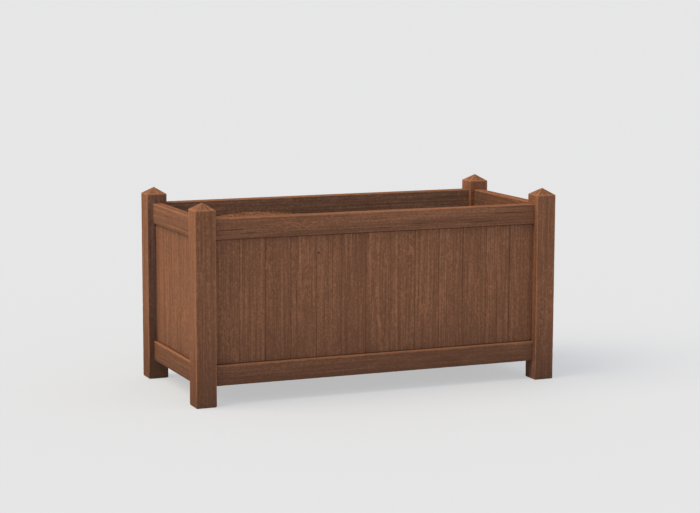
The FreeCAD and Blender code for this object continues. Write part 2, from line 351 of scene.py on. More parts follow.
# Each tint has its middle, its reach in x, y and z, and the colour that it multiplies the wood's by
# The first tint makes the top of the front left post's left face paler and warmer
tints = {"paler top of front left post": ((post_outer.x, -0.2, 0.48), (0.006, 0.06, 0.28), (1.17, 1.13, 1.08, 1)),
         "dark top of that post": ((-0.4755, post_outer.y, 0.48), (0.06, 0.006, 0.13), (0.87, 0.86, 0.85, 1)),
         # Painted shade: the back left post's front face greyer and darker, as it lies in shade
         "painted shade on back left post": ((-0.49, -post_inner.y, 0.24), (0.06, 0.0015, 0.5), (0.72, 0.91, 1.25, 1)),
         # Painted light: the left face of the front right post's foot lighter, where the planter shades it
         "painted light on front right foot": ((-post_inner.x, -0.2, 0.01), (0.002, 0.08, 0.07), (1.65, 1.7, 1.9, 1)),
         # Painted shade: the top of the right rail's inner face darker
         "painted shade on inner right rail": ((-rail_inner.x, 0.135, 0.46), (0.002, 0.11, 0.06), (0.74, 0.82, 0.96, 1)),
         # Painted shade: the left side darker and warmer towards the ground
         "painted shade low on left side": ((-0.498, 0, 0), (0.02, 2, 0.17), (0.9, 0.84, 0.72, 1)),
         # Painted light: the tops of the rails lighter and warmer, as lit from above
         "painted light on tops of rails": ((0, 0, rail_top + 0.0005), (4, 4, 0.002), (1.07, 0.99, 0.93, 1))}


def share_of_reach(tree, place, middle, reach):
    """How far a place is from a middle, as a share of a reach that differs in x, y and z."""
    return length_of(tree, vector_calc(tree, "DIVIDE", vector_calc(tree, "SUBTRACT", place, middle), reach))


def inner_stain(tree, place):
    """Where the rails' inner faces are, and the painted shade put on them, which is greyer on the long walls
    than on the short ones."""
    past_rail, past_post = [], []
    for part, rail, post in zip(parts_of(tree, place), rail_inner, post_inner):
        part = calc(tree, "ABSOLUTE", part)
        past_rail.append(calc(tree, "SUBTRACT", part, inner_shade_margin - rail))
        past_post.append(calc(tree, "SUBTRACT", part, -inner_shade_margin - post))
    outside = calc(tree, "MAXIMUM", calc(tree, "MAXIMUM", *past_rail), calc(tree, "MINIMUM", *past_post))
    on_short_wall = calc(tree, "GREATER_THAN", past_post[0], 0.0)
    shade_tint = blend_colours(tree, on_short_wall, long_wall_shade, short_wall_shade)
    return calc(tree, "LESS_THAN", outside, 0.0), shade_tint


# Tints, most of them painted light and painted shade, then painted shade near the ground, on the inner faces
# and low on the rails
def weathered(tree, colour, place):
    for middle, reach, tint in tints.values():
        faded = ease(tree, share_of_reach(tree, place, middle, reach), 0.0, 1.3, 1.0, 0.0)
        colour = blend_colours(tree, faded, colour, tint, "MULTIPLY")
    # Painted shade: darker towards the ground
    ground_shade = ease(tree, parts_of(tree, place)[2], *ground_shade_reach, ground_shade_depth, 0.0)
    colour = blend_colours(tree, ground_shade, colour, shade_colour)
    # Painted shade: the rails' inner faces greyer and darker
    inside, shade_tint = inner_stain(tree, place)
    colour = blend_colours(tree, inside, colour, shade_tint, "MULTIPLY")
    # Painted shade: the rails darker towards their lower edge, except on their inner faces
    drip = ease(tree, attribute(tree, "drip"), 0.1, 0.85, 0.0, rail_shade_depth)
    rail_shaded = calc(tree, "MULTIPLY", drip, calc(tree, "SUBTRACT", 1.0, inside))
    return blend_colours(tree, rail_shaded, colour, shade_colour)


print("weather:", len(tints), "tints, damp up to", ground_shade_reach[1], "m")

# %% [markdown]
# ## Wear, dirt, painted light and flaws
# Hands and tools wear the arrises pale, and dirt gathers in the joints between boards and where a board runs
# into a rail or a post. Just below the top rail that dark line is also painted shadow, and on the bottom
# rails the pale edge is widened as painted light. Each timber says how far a point is from every kind of
# edge, so the finish only has to read that distance. Noise could strew flaws anywhere, but the few pin knots
# and thin shakes of the front have their own places. Each is an egg, round or long, that a little noise
# bends.

# %% Wear and flaws
pale_colour = (0.350, 0.155, 0.080, 1)
pore_colour = (0.060, 0.027, 0.018, 1)
rub_depth = 0.75
seam_depth = 0.35
shoulder_dirt_and_shade = 0.9
knot_depth = 0.85
shake_depth = 0.6
shake_width = 0.0013
shake_reach_in = 0.006

board_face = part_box("front_board_02")[0].y
rail_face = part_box("top_rail_front")[0].y
knots = [((-0.1659, board_face, 0.3722), 0.0032), ((-0.2965, board_face, 0.3625), 0.0022),
         ((-0.4358, board_face, 0.3637), 0.0022), ((0.3125, rail_face, 0.4676), 0.0020)]
shakes = [((-0.4005, 0.4427), 0.041), ((-0.3538, 0.4337), 0.021), ((0.1119, 0.4361), 0.024),
          ((0.0101, 0.4302), 0.021), ((0.3862, 0.4530), 0.060), ((0.4057, 0.4680), 0.040),
          ((0.2948, 0.4330), 0.045)]
flaws = [(middle, (radius, radius, radius), knot_depth) for middle, radius in knots]
flaws += [((x, rail_face, z), (half, shake_reach_in, shake_width), shake_depth) for (x, z), half in shakes]


def dark_flaws(tree, place, grain):
    bend = calc(tree, "MULTIPLY", calc(tree, "SUBTRACT", noise(tree, grain, 25, 60), 0.5), 0.004)
    place = vector_calc(tree, "ADD", place, vector_of(tree, z=bend))
    darkest = 0.0
    for middle, reach, depth in flaws:
        away = share_of_reach(tree, place, middle, reach)
        darkest = calc(tree, "MAXIMUM", darkest, ease(tree, away, 0.5, 1.3, depth, 0.0))
    return darkest


# Pale worn arrises, dirt in the joints, painted shadow below the top rail, painted light on the bottom rails'
# edges, and the flaws
def worn(tree, colour, place, grain):
    ragged = calc(tree, "SUBTRACT", noise(tree, grain, 60, 160), 0.5)
    arris = calc(tree, "MULTIPLY_ADD", ragged, 0.004, attribute(tree, "arris"))
    rubbed = ease(tree, arris, 0.0006, 0.0032, rub_depth, 0.0)
    # The pale edge stays off the painted shade low on the rails
    clear_of_rail_shade = ease(tree, attribute(tree, "drip"), 0.3, 0.5, 1.0, 0.0)
    off_ground = ease(tree, parts_of(tree, place)[2], 0.01, 0.06)
    rubbed = calc(tree, "MULTIPLY", rubbed, calc(tree, "MULTIPLY", clear_of_rail_shade, off_ground))
    colour = blend_colours(tree, rubbed, colour, pale_colour)
    patchy = ease(tree, noise(tree, grain, 7), 0.42, 0.64, 0.0, seam_depth)
    seam = calc(tree, "MULTIPLY", ease(tree, attribute(tree, "seam"), 0.0004, 0.0017, 1.0, 0.0), patchy)
    # Dark line where a board meets a rail or a post: dirt, and just below the top rail painted shadow too
    shoulder = ease(tree, attribute(tree, "shoulder"), 0.0008, 0.0022, shoulder_dirt_and_shade, 0.0)
    colour = blend_colours(tree, calc(tree, "MAXIMUM", seam, shoulder), colour, pore_colour)
    return blend_colours(tree, dark_flaws(tree, place, grain), colour, pore_colour)


print("flaws:", len(knots), "knots and", len(shakes), "shakes")

# %% [markdown]
# ## Oiled hardwood
# The finish puts it together: the grain, the dark pores and fine checks that open in it, then the painted
# light and shade, and the wear. A thin oil leaves the wood matt. The fibres stand a little proud and the
# pores
# lie deeper, which a bump shows: as real geometry they would need millions of faces.

# %% Hardwood finish
check_depth = 0.4
pore_depth = 0.5
wood_relief = 0.0006


def object_place(tree):
    return add_node(tree, "ShaderNodeTexCoord").outputs["Object"]


def relief(tree, height, strength, depth):
    return result(tree, "ShaderNodeBump", {"Strength": strength, "Distance": depth, "Height": height})


def oiled_hardwood(name):
    material, tree, shader = new_material(name)
    grain = attribute(tree, "grain", "Vector")
    place = object_place(tree)
    layers = {layer: noise(tree, grain, along, across)
              for layer, (along, across, weight) in grain_layers.items()}
    checks = ease(tree, noise(tree, grain, 8, 420, detail=1.0), 0.66, 0.74, 0.0, check_depth)
    pores = ease(tree, noise(tree, grain, 120, 2400, detail=1.0), 0.60, 0.70, 0.0, pore_depth)
    colour = grain_colour(tree, grain, layers)
    colour = blend_colours(tree, checks, colour, pore_colour)
    colour = blend_colours(tree, pores, colour, pore_colour)
    colour = blend_colours(tree, curly_figure(tree, grain), colour, pale_colour)
    colour = worn(tree, weathered(tree, colour, place), place, grain)
    matt = calc(tree, "MULTIPLY_ADD", layers["streaks"], -0.25, 0.88)
    raised = [(layers["fibres"], 0.6), (layers["streaks"], 0.4), (pores, -0.5), (checks, -0.8)]
    fill_inputs(tree, shader, {"Base Color": colour, "Roughness": matt, "Specular IOR Level": 0.03,
                               "Normal": relief(tree, tone_sum(tree, raised), 0.5, wood_relief)})
    return material


hardwood = oiled_hardwood("oiled hardwood")
print("finish:", hardwood.name, "with", len(hardwood.node_tree.nodes), "nodes")

# %% [markdown]
# ## Starting and closing a Geometry Nodes tree
# Every tree here starts with a geometry and some named sizes, and ends the same way: instances made real,
# then the finish. A few more short names save lines: a named attribute can be stored on the points or read
# from them, a section can be swept along a run, and a shape can be moved, joined to others, or shaded smooth
# except at its sharp edges.

# %% Tree helpers
def new_tree(name, inputs):
    tree = bpy.data.node_groups.new(name, "GeometryNodeTree")
    tree.interface.new_socket("Geometry", in_out="INPUT", socket_type="NodeSocketGeometry")
    for socket, kind in inputs.items():
        tree.interface.new_socket(socket, in_out="INPUT", socket_type="NodeSocket" + kind)
    tree.interface.new_socket("Geometry", in_out="OUTPUT", socket_type="NodeSocketGeometry")
    return tree, add_node(tree, "NodeGroupInput").outputs


def close_tree(tree, geometry, finish):
    real = result(tree, "GeometryNodeRealizeInstances", {"Geometry": geometry})
    painted = result(tree, "GeometryNodeSetMaterial", {"Geometry": real, "Material": finish})
    add_node(tree, "NodeGroupOutput", {0: painted})


def store(tree, geometry, name, value, kind="FLOAT", domain="POINT"):
    values = {"Geometry": geometry, "Name": name, "Value": value}
    return result(tree, "GeometryNodeStoreNamedAttribute", values, data_type=kind, domain=domain)


def named(tree, name, kind="FLOAT"):
    return result(tree, "GeometryNodeInputNamedAttribute", {"Name": name}, data_type=kind)


def own_position(tree):
    return result(tree, "GeometryNodeInputPosition")


def random_vector(tree, low, high, **values):
    return result(tree, "FunctionNodeRandomValue", {0: low, 1: high, **values}, data_type="FLOAT_VECTOR")


def random_tone(tree, **values):
    return add_node(tree, "FunctionNodeRandomValue", values, data_type="FLOAT").outputs[1]


def curve_of(tree, drawn):
    return result(tree, "GeometryNodeMeshToCurve", {0: drawn})


def swept(tree, run, section):
    """A section along a run, as large at each station as the swell says, with its ends closed."""
    values = {"Curve": run, "Profile Curve": section, "Scale": named(tree, "swell"), "Fill Caps": True}
    return result(tree, "GeometryNodeCurveToMesh", values)


def turn_of(tree, angles):
    return result(tree, "FunctionNodeEulerToRotation", {0: angles})


def moved(tree, geometry, **values):
    """A geometry after a Transform node, with its Translation, its Rotation or both."""
    return result(tree, "GeometryNodeTransform", {"Geometry": geometry, **values})


def joined(tree, *parts):
    join = add_node(tree, "GeometryNodeJoinGeometry")
    for part in parts:
        tree.links.new(part, join.inputs[0])
    return join.outputs[0]


def smooth_with_sharp_edges(tree, geometry, limit):
    smooth = result(tree, "GeometryNodeSetShadeSmooth", {"Geometry": geometry})
    angle = result(tree, "GeometryNodeInputMeshEdgeAngle")
    sharp = calc(tree, "GREATER_THAN", angle, limit)
    values = {"Geometry": smooth, "Selection": sharp, "Shade Smooth": False}
    return result(tree, "GeometryNodeSetShadeSmooth", values, domain="EDGE")


print("tree helpers ready")

# %% [markdown]
# ## How far it is to an edge
# An edge that is handled wears pale (arris), one between two boards holds a little dirt (seam), and one that
# runs into a rail or a post holds a lot, which just below the top rail is also painted shadow (shoulder). The
# finish could look for edges by itself, but it can't tell these kinds apart. So the tree that makes a timber
# measures the distances and stores them. An edge of another kind counts as a metre further away, which puts
# it out of reach.

# %% Edge distances
def edge_distances(tree, put):
    """Distances from the nearest long edge, the nearest edge across the run, and a post beside the timber."""
    parts = parts_of(tree, named(tree, "section", "FLOAT_VECTOR"))
    sides = []
    for part, size in ((parts[0], put["Width"]), (parts[1], put["Depth"])):
        inwards = calc(tree, "MULTIPLY", calc(tree, "ABSOLUTE", part), -1)
        sides.append(calc(tree, "MULTIPLY_ADD", size, 0.5, inwards))
    long_edge = calc(tree, "MULTIPLY", calc(tree, "MAXIMUM", *sides), named(tree, "swell"))
    ends = []
    for edge in ("Lower Edge", "Upper Edge"):
        ends.append(calc(tree, "ABSOLUTE", calc(tree, "SUBTRACT", named(tree, "run"), put[edge])))
    post_face = calc(tree, "MULTIPLY", calc(tree, "MULTIPLY", put["Post Side"], 0.5), put["Width"])
    no_post = calc(tree, "SUBTRACT", 1.0, calc(tree, "ABSOLUTE", put["Post Side"]))
    from_post = calc(tree, "ABSOLUTE", calc(tree, "SUBTRACT", parts[0], post_face))
    return long_edge, calc(tree, "MINIMUM", *ends), calc(tree, "ADD", from_post, no_post)


def store_edges(tree, geometry, put):
    long_edge, end_edge, post_edge = edge_distances(tree, put)
    open_long = calc(tree, "ADD", long_edge, calc(tree, "SUBTRACT", 1.0, put["Open Sides"]))
    open_end = calc(tree, "ADD", end_edge, calc(tree, "SUBTRACT", 1.0, put["Open Ends"]))
    # The pale edge, widened by the rub share, which on the bottom rails is painted light
    arris = calc(tree, "DIVIDE", calc(tree, "MINIMUM", open_long, open_end), put["Rub And Highlight"])
    geometry = store(tree, geometry, "arris", arris)
    geometry = store(tree, geometry, "seam", calc(tree, "ADD", long_edge, put["Open Sides"]))
    shut_end = calc(tree, "ADD", end_edge, put["Open Ends"])
    return store(tree, geometry, "shoulder", calc(tree, "MINIMUM", shut_end, post_edge))


print("edges: arris, seam and shoulder")

# %% [markdown]
# ## A tree that planes a timber
# Every wooden piece is one outline swept along a straight run: a rounded square for a post, a grooved
# rectangle for a rail, a tongued and grooved section for a board. Geometry Nodes can sweep any outline with
# Curve to Mesh, so a single tree makes them all. The run carries a swell at each station, which lets a post
# shrink to its point. The tree also writes what the finish needs on every point: where it lies in the grain,
# how far it is from each kind of edge, how much painted shade it gets low on a rail, and a tone for the whole
# timber. A little wear is cut into the surface, always inwards, so that the timber stays inside its size.

# %% Timber tree
log_reach = (8, 0.12, 0.12)
bruise_reach = 0.005
bruise_strength = 3.0
timber_crease = math.radians(40)


def store_grain(tree, timber, put):
    """Places in a log of random origin, one tone for the whole timber, and the painted shade low on its
    section.
    """
    parts = parts_of(tree, named(tree, "section", "FLOAT_VECTOR"))
    local = vector_of(tree, named(tree, "run"), parts[0], parts[1])
    whole = result(tree, "FunctionNodeInputInt", integer=1)
    log_end = tuple(-reach for reach in log_reach)
    log = random_vector(tree, log_end, log_reach, ID=whole, Seed=put["Seed"])
    timber = store(tree, timber, "grain", vector_calc(tree, "ADD", local, log), "FLOAT_VECTOR")
    timber = store(tree, timber, "tone", random_tone(tree, ID=whole, Seed=put["Seed"]))
    # Painted shade on the section: how low a point lies, times the rail shade share
    low_down = calc(tree, "ADD", calc(tree, "DIVIDE", parts[0], put["Width"]), 0.5)
    return store(tree, timber, "drip", calc(tree, "MULTIPLY", low_down, put["Rail Shade"]))


def cut_wear(tree, timber, put):
    """The surface moved inwards, unevenly everywhere and with bruises near the arrises."""
    grain = named(tree, "grain", "FLOAT_VECTOR")
    near_arris = ease(tree, named(tree, "arris"), 0.0, bruise_reach, 1.0, 0.0)
    bruises = ease(tree, noise(tree, grain, 70), 0.45, 0.75, 0.0, bruise_strength)
    uneven = calc(tree, "MULTIPLY_ADD", near_arris, bruises, noise(tree, grain, 6, 60))
    inwards = calc(tree, "MULTIPLY", calc(tree, "MULTIPLY", uneven, put["Wear"]), -1)
    offset = scaled(tree, result(tree, "GeometryNodeInputNormal"), inwards)
    return result(tree, "GeometryNodeSetPosition", {"Geometry": timber, "Offset": offset})


def timber_tree():
    inputs = {"Outline": "Object", "Width": "Float", "Depth": "Float", "Lower Edge": "Float",
              "Upper Edge": "Float", "Open Sides": "Float", "Open Ends": "Float", "Post Side": "Float",
              "Rail Shade": "Float", "Rub And Highlight": "Float", "Wear": "Float", "Seed": "Int", "Turn": "Vector",
              "Place": "Vector", "Finish": "Material"}
    tree, put = new_tree("planed timber", inputs)
    position = own_position(tree)
    run = store(tree, curve_of(tree, put["Geometry"]), "run", parts_of(tree, position)[2])
    drawn = add_node(tree, "GeometryNodeObjectInfo", {"Object": put["Outline"]}).outputs["Geometry"]
    section = store(tree, curve_of(tree, drawn), "section", position, "FLOAT_VECTOR")
    timber = store_grain(tree, swept(tree, run, section), put)
    timber = store_edges(tree, timber, put)
    timber = smooth_with_sharp_edges(tree, cut_wear(tree, timber, put), timber_crease)
    timber = moved(tree, timber, Translation=put["Place"], Rotation=turn_of(tree, put["Turn"]))
    close_tree(tree, timber, put["Finish"])
    return tree


planed_timber = timber_tree()
print("tree:", planed_timber.name, "with", len(planed_timber.nodes), "nodes")

# %% [markdown]
# ## Drawing outlines
# An outline is a short list of corners, each with the radius of its arris. The helper turns every corner
# into an arc and divides the straight stretches, because the wear needs points to move. A bevel could round
# the edges of a finished mesh instead, but an arc that is there before the sweep also carries the distance
# from its edge. Outlines and runs are meshes of edges only, which a tree reads as curves.

# %% Outlines
arc_steps = 4
guard = 0.0003
outline_step = 0.004


def rounded_corner(before, corner, after, radius):
    """Points of the arc that rounds a corner, or the corner itself if it is sharp."""
    if radius == 0:
        return [corner]
    into = (before - corner).normalized()
    out = (after - corner).normalized()
    half_angle = into.angle(out) / 2
    middle = corner + (into + out).normalized() * radius / math.sin(half_angle)
    start = corner + into * radius / math.tan(half_angle) - middle
    end = corner + out * radius / math.tan(half_angle) - middle
    sweep = math.pi - 2 * half_angle
    points = []
    for step in range(arc_steps + 1):
        turn = sweep * step / arc_steps
        points.append(middle + (start * math.sin(sweep - turn) + end * math.sin(turn)) / math.sin(sweep))
    return points


def divided(start, end, step):
    """Inner points of a straight stretch. One stands guard close to each end, so that the soft shading of
    an arris stays on its arc, and the rest are at most one step apart."""
    length = (end - start).length
    if length < 4 * guard:
        return []
    pieces = math.ceil((length - 2 * guard) / step)
    places = [guard + (length - 2 * guard) * piece / pieces for piece in range(pieces + 1)]
    return [start.lerp(end, place / length) for place in places]


def drawn_line(corners, step, closed=True):
    """Points along the corners (x, y, radius), with straight stretches divided to at most one step."""
    places = [Vector((x, y)) for x, y, radius in corners]
    count = len(corners)
    bends = []
    for i, (x, y, radius) in enumerate(corners):
        inner = closed or 0 < i < count - 1
        after = places[(i + 1) % count]
        bends.append(rounded_corner(places[i - 1], places[i], after, radius if inner else 0))
    points = []
    for i in range(count):
        points += bends[i]
        if closed or i < count - 1:
            points += divided(bends[i][-1], bends[(i + 1) % count][0], step)
    return points


def mark_points(drawn, name, values):
    drawn.data.attributes.new(name, "FLOAT", "POINT").data.foreach_set("value", values)


def outline(name, corners):
    """A closed outline that goes round anticlockwise, so that what is swept from it faces outwards."""
    points = drawn_line(corners, outline_step)
    area = sum(a.x * b.y - b.x * a.y for a, b in zip(points, points[1:] + points[:1]))
    if area < 0:
        points.reverse()
    edges = [(i, (i + 1) % len(points)) for i in range(len(points))]
    return mesh_object(name, [(point.x, point.y, 0) for point in points], edges, [])


def upright_run(name, stations):
    """A run up z through stations of a height and a swell."""
    edges = [(i, i + 1) for i in range(len(stations) - 1)]
    drawn = mesh_object(name, [(0, 0, height) for height, swell in stations], edges, [])
    mark_points(drawn, "swell", [swell for height, swell in stations])
    return drawn


def rectangle(width, depth, radius):
    return [(x * width / 2, y * depth / 2, radius) for x, y in ((-1, -1), (1, -1), (1, 1), (-1, 1))]


print("outlines: arrises of", arc_steps, "steps")

# %% [markdown]
# ## Making and seating a piece
# Running a tree means giving a host object the modifier, setting its inputs by their identifiers, reading the
# result as a plain mesh and throwing the host away. The finished piece then rides on the frame and takes the
# place of its node. One function does all of this for a timber, so that each wall below is a short loop.

# %% Pieces
timber_wear = 0.00012
first_seed = 500
station_step = 0.008
timbers_made = 0


def discard(thing):
    mesh = thing.data
    bpy.data.objects.remove(thing)
    bpy.data.meshes.remove(mesh)


def run_tree(host, tree, name, inputs):
    modifier = host.modifiers.new(tree.name, "NODES")
    modifier.node_group = tree
    identifiers = {item.name: item.identifier for item in tree.interface.items_tree if item.in_out == "INPUT"}
    for socket, value in inputs.items():
        modifier[identifiers[socket]] = value
    depsgraph = bpy.context.evaluated_depsgraph_get()
    made = host.evaluated_get(depsgraph)
    mesh = bpy.data.meshes.new_from_object(made, preserve_all_data_layers=True, depsgraph=depsgraph)
    discard(host)
    mesh.name = name
    return new_object(name, mesh)


def seat(piece, slot, *nodes):
    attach(piece, "root")
    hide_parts(*nodes)
    return piece


def even_run(half):
    """Stations of a straight timber of one section, from end to end."""
    count = math.ceil(2 * half / station_step)
    return [(-half + 2 * half * i / count, 1.0) for i in range(count + 1)]


def timber(node, slot, section, size, run, turn, place, edges, open_sides=1.0, open_ends=1.0, post_side=0.0,
           drip=0.0, rub_and_highlight=1.0, bore=None):
    """One planed timber in place of its node: size is the section's width and depth, and edges are the
    heights on its run where it turns a corner or meets a neighbour. Painted shade darkens the section towards
    +x by the rail shade share, the rub share widens the pale edge, which on the bottom rails is painted
    light, and post_side is -1 or 1 where that side of it meets a post. A bore is a tree that cuts the screws'
    holes."""
    global timbers_made
    timbers_made += 1
    inputs = {"Outline": section, "Width": size[0], "Depth": size[1], "Lower Edge": edges[0],
              "Upper Edge": edges[1], "Open Sides": open_sides, "Open Ends": open_ends,
              "Post Side": post_side, "Rail Shade": drip, "Rub And Highlight": rub_and_highlight, "Wear": timber_wear,
              "Seed": first_seed + timbers_made, "Turn": turn, "Place": place, "Finish": hardwood}
    piece = run_tree(upright_run("run", run), planed_timber, node + "_timber", inputs)
    if bore:
        piece = run_tree(piece, bore, node + "_timber", {"Plugs": plugs, "Finish": hardwood})
    return seat(piece, slot, node)


print("pieces: wear", timber_wear * 1000, "mm, first seed", first_seed)

# %% [markdown]
# ## Posts
# Each post is a square balk whose top is cut to a low pyramid. It could be a box with its top pulled in, but
# sweeping a rounded square up a run that shrinks keeps the four hips crisp and the streaks of the top all
# running to the point, as they do on the real one. The run is drawn as half of the post's elevation.

# %% Posts
post_size = post_inner.x - post_outer.x
post_eave = 0.496
post_rise = 0.0175
post_arris = 0.0015
eave_radius = 0.001
peak_radius = 0.0015
foot_chamfer = 0.002
point_width = 0.0004

half_post = post_size / 2
post_middle = (post_outer.z + post_inner.z) / 2
elevation = [(half_post - foot_chamfer, 0, 0), (half_post, foot_chamfer, 0),
             (half_post, post_eave, eave_radius), (0, post_eave + post_rise, peak_radius),
             (-half_post, post_eave, 0)]
post_line = [point for point in drawn_line(elevation, station_step, closed=False) if point.x >= point_width]
post_run = [(point.y - post_middle, point.x / half_post) for point in post_line]
post_outline = outline("post outline", rectangle(post_size, post_size, post_arris))
post_edges = (-post_middle, post_eave - post_middle)
posts = [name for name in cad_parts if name.startswith("post_")]
for name in posts:
    low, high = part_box(name)
    timber(name, "post_wood", post_outline, (post_size, post_size), post_run, (0, 0, 0), (low + high) / 2,
           post_edges)
print("posts:", len(posts), "of", round(post_size * 1000), "mm, with", len(post_run), "stations")

# %% [markdown]
# ## Rails
# Two rails run between each pair of posts, and the boards stand in grooves along their facing edges. A rail
# is one section swept along the wall. The section lies on its side because the run always goes up: the turn
# lays it down and then swings it round to its own wall. The ends go a little way into the posts, so that no
# light shows at the shoulder.

# %% Rails
wall_turns = {"front": 0, "right": 90, "back": 180, "left": 270}
rail_arris = 0.002
rail_crown = 0.003
groove_depth = 0.008
groove_gap = 0.0002
shoulder_cover = 0.004
# Painted shade towards the lower edge of the rails, as a share
rail_shade_share = {"top": 0.88, "bottom": 0.6}
# Width of the pale edge; on the bottom rails it is widened as painted light on their top edge
rail_rub_and_highlight = {"top": 1.0, "bottom": 2.0}

board_low, board_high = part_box("front_board_02")
board_thickness = board_high.y - board_low.y
rail_low, rail_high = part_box("top_rail_front")
rail_height = rail_high.z - rail_low.z
rail_thickness = rail_high.y - rail_low.y
clear_lengths = {"front": -2 * post_inner.x, "left": -2 * post_inner.y}
clear_lengths["back"] = clear_lengths["front"]
clear_lengths["right"] = clear_lengths["left"]


def rail_corners(groove_side, crown):
    """Section of a rail, with its height along x and its groove in the edge at groove_side (1 or -1)."""
    edge = groove_side * rail_height / 2
    deep = edge - groove_side * groove_depth
    half_groove = board_thickness / 2 + groove_gap
    half_thick = rail_thickness / 2
    return [(edge, -half_thick, rail_arris), (edge, -half_groove, 0), (deep, -half_groove, 0),
            (deep, half_groove, 0), (edge, half_groove, 0), (edge, half_thick, rail_arris),
            (-edge, half_thick, crown), (-edge, -half_thick, crown)]


rail_outlines = {"top": outline("top rail outline", rail_corners(1, rail_crown)),
                 "bottom": outline("bottom rail outline", rail_corners(-1, rail_arris))}
for storey, section in rail_outlines.items():
    for wall, degrees in wall_turns.items():
        name = f"{storey}_rail_{wall}"
        low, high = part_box(name)
        half = clear_lengths[wall] / 2
        turn = (0, math.radians(90), math.radians(degrees))
        timber(name, "rail_wood", section, (rail_height, rail_thickness), even_run(half + shoulder_cover),
               turn, (low + high) / 2, (-half, half), open_ends=0.0, drip=rail_shade_share[storey],
               rub_and_highlight=rail_rub_and_highlight[storey])
print("rails:", round(rail_height * 1000), "x", round(rail_thickness * 1000), "mm")

# %% [markdown]
# ## Wall boards
# The walls are narrow upright boards with a tongue on one edge and a groove in the other, so that they can
# shrink and swell without opening a gap. The small chamfers along their faces make the fine dark line at each
# joint. Only three sections are needed: the first and last board of a wall have a plain edge, which goes into
# the post.

# %% Wall boards
board_chamfer = 0.0009
tongue_length = 0.005
tongue_thickness = 0.004
joint_gap = 0.0002
movement_gap = 0.001
board_let_in = 0.005
# The dark line at the boards' upper ends is set this far below the top rail's underside, as dirt and painted
# shadow
dirt_and_shadow_below_rail = 0.0013

board_counts = {}
for wall in wall_turns:
    board_counts[wall] = sum(name.startswith(wall + "_board_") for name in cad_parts)
board_cover = clear_lengths["front"] / board_counts["front"]


def board_corners(first, last):
    """Section of a board with its face at -y: groove at its left edge, tongue at its right edge."""
    left, right = -board_cover / 2, board_cover / 2 - joint_gap
    face, back = -board_thickness / 2, board_thickness / 2
    slot = tongue_thickness / 2 + joint_gap
    deep = left + tongue_length + movement_gap
    tongue, tip = tongue_thickness / 2, right + tongue_length
    if first:
        points = [(left - board_let_in, back), (left - board_let_in, face)]
    else:
        points = [(left, back), (left, slot), (deep, slot), (deep, -slot), (left, -slot),
                  (left, face + board_chamfer), (left + board_chamfer, face)]
    if last:
        points += [(right + board_let_in, face), (right + board_let_in, back)]
    else:
        points += [(right - board_chamfer, face), (right, face + board_chamfer), (right, -tongue),
                   (tip, -tongue), (tip, tongue), (right, tongue), (right, back)]
    return [(x, y, 0) for x, y in points]


def board_name(wall, number):
    digits = len(str(board_counts[wall]))
    return f"{wall}_board_{number:0{digits}d}"


board_outlines = {"first": outline("first board outline", board_corners(True, False)),
                  "middle": outline("board outline", board_corners(False, False)),
                  "last": outline("last board outline", board_corners(False, True))}
half_board = (board_high.z - board_low.z) / 2
half_panel = (rail_low.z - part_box("bottom_rail_front")[1].z) / 2
panel_edges = (-half_panel, half_panel - dirt_and_shadow_below_rail)
for wall, degrees in wall_turns.items():
    count = board_counts[wall]
    low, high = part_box(board_name(wall, 2))
    wall_turn = Matrix.Rotation(math.radians(degrees), 3, "Z")
    local_middle = wall_turn.inverted() @ ((low + high) / 2)
    for i in range(count):
        kind, post_side = {0: ("first", -1.0), count - 1: ("last", 1.0)}.get(i, ("middle", 0.0))
        place = wall_turn @ Vector(((i + 0.5 - count / 2) * board_cover, local_middle.y, local_middle.z))
        timber(board_name(wall, i + 1), "board_wood", board_outlines[kind], (board_cover, board_thickness),
               even_run(half_board), (0, 0, math.radians(degrees)), place, panel_edges, open_sides=0.0,
               open_ends=0.0, post_side=post_side)
print("boards:", board_counts, "each covering", round(board_cover * 1000, 1), "mm")

# %% [markdown]
# ## Screws
# Each floor cleat will be held by four countersunk screws. A turned shape like a screw is one circle swept
# along its axis, with a swell at each station: a point, a straight shank and a head that opens like a cone. A
# cross is cut into the head with two bars. Instances on a line of points repeat it: one screw is drawn, and
# the tree sets out a row and turns a second row to face it. The same tree, with no cross and a little more
# room, gives the plugs that bore the holes in the cleats.

# %% Cleat screws
zinc_colour = (0.52, 0.53, 0.55, 1)
dull_zinc_colour = (0.40, 0.41, 0.42, 1)
screw_low, screw_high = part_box("cleat_screws")
screws_per_cleat = 4
screw_head_radius = (screw_high.z - screw_low.z) / 2
screw_head_height = 0.0026
screw_shank_swell = 0.5
screw_tip_swell = 0.1
screw_tip_length = 0.005
screw_facets = 24
screw_clearance = 0.0002
screw_crease = math.radians(30)
plug_overshoot = 0.0005
recess_size = (0.0044, 0.0009, 0.0022)


def zinc_plate(name):
    material, tree, shader = new_material(name)
    cloud = noise(tree, object_place(tree), 900)
    fill_inputs(tree, shader, {"Base Color": blend_colours(tree, cloud, dull_zinc_colour, zinc_colour),
                               "Metallic": 1.0, "Roughness": calc(tree, "MULTIPLY_ADD", cloud, 0.3, 0.25)})
    return material


def cut_away(tree, geometry, cutter):
    values = {"Mesh 1": geometry, "Mesh 2": cutter}
    return result(tree, "GeometryNodeMeshBoolean", values, operation="DIFFERENCE", solver="MANIFOLD")


